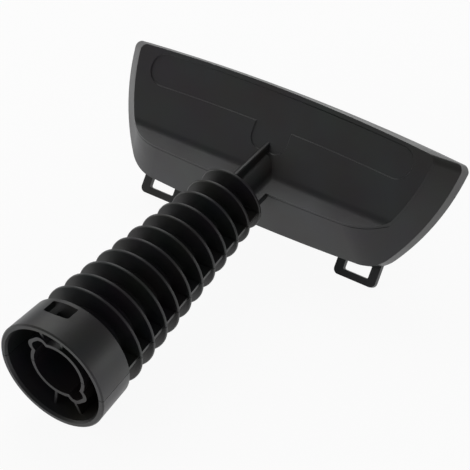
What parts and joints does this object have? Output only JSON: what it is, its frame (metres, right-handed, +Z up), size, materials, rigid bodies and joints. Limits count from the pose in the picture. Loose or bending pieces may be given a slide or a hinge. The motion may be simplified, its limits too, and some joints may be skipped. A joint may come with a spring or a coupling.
{
  "type": "steam cleaner fabric brush",
  "caption": "Wide fabric brush for a steam cleaner: finned tapered grip with a keyed socket, angled flat head, strap loops, bristle strips and steam holes",
  "frame": {"origin": "centre of the bounding box's bottom, on the floor that the brush lies on", "axes": "+Z up from the floor, +Y along the grip from the socket's mouth towards the head, +X along the wide head, in the mirror plane's normal"},
  "size_m": [0.1642, 0.1784, 0.0621],
  "materials": {
    "black_shell": "black moulded plastic with a fine satin texture",
    "black_rubber": "soft black rubber",
    "inner_plastic": "plain black heat-resistant plastic",
    "bristle_nylon": "black nylon bristles",
    "steel": "plain zinc-coated steel"
  },
  "bodies": {
    "root": {"upper_shell": "black_shell", "lower_shell": "black_shell", "front_plate": "black_shell", "plate_gasket": "black_rubber", "steam_tube": "inner_plastic", "socket_seal": "black_rubber", "upper_strip": "black_shell", "lower_strip": "black_shell", "upper_tufts": "bristle_nylon", "lower_tufts": "bristle_nylon", "plate_screws": "steel"}
  },
  "joints": []
}
